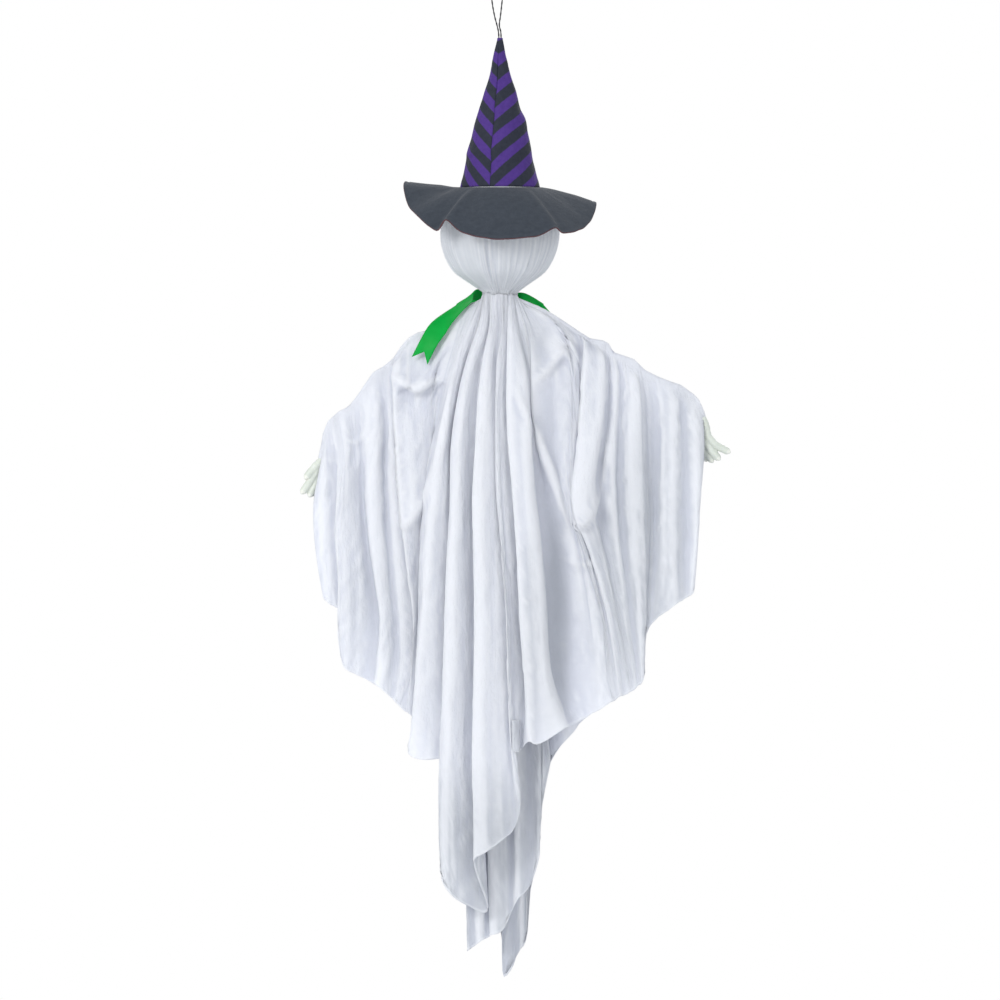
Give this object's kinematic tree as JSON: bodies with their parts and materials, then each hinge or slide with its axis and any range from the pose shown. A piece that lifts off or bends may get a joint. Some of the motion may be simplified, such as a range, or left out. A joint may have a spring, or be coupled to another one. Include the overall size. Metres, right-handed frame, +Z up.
{
  "type": "hanging fabric ghost",
  "caption": "Hanging ghost decoration: a draped cloth body with outstretched arms, a striped pointed hat, a ribbon bow and a hanging cord loop.",
  "frame": {"origin": "top of the hanging cord's loop, on the ghost's centre line", "axes": "+Z up, -Y towards the viewer (the ghost's back), +X to the viewer's right"},
  "size_m": [0.5762, 0.2409, 1.2814],
  "materials": {
    "hanging_cord": "black twisted cord",
    "cord_knot": "black twisted cord",
    "hat_cone": "purple and black striped cloth",
    "hat_brim": "black felted cloth",
    "head_ball": "white foam",
    "shroud": "thin white woven cloth",
    "under_cloth": "thin white woven cloth",
    "neck_tie": "beige covered elastic",
    "arm_wire": "galvanised",
    "hand_left": "satin moulded vinyl",
    "hand_right": "satin moulded vinyl",
    "bow_loops": "green satin",
    "bow_knot": "green satin",
    "bow_tails": "green satin"
  },
  "bodies": {
    "root": {"hanging_cord": "hanging_cord", "cord_knot": "cord_knot", "hat_cone": "hat_cone", "hat_brim": "hat_brim", "head_ball": "head_ball", "shroud": "shroud", "under_cloth": "under_cloth", "neck_tie": "neck_tie", "arm_wire": "arm_wire", "hand_left": "hand_left", "hand_right": "hand_right", "bow_loops": "bow_loops", "bow_knot": "bow_knot", "bow_tails": "bow_tails"}
  },
  "joints": []
}
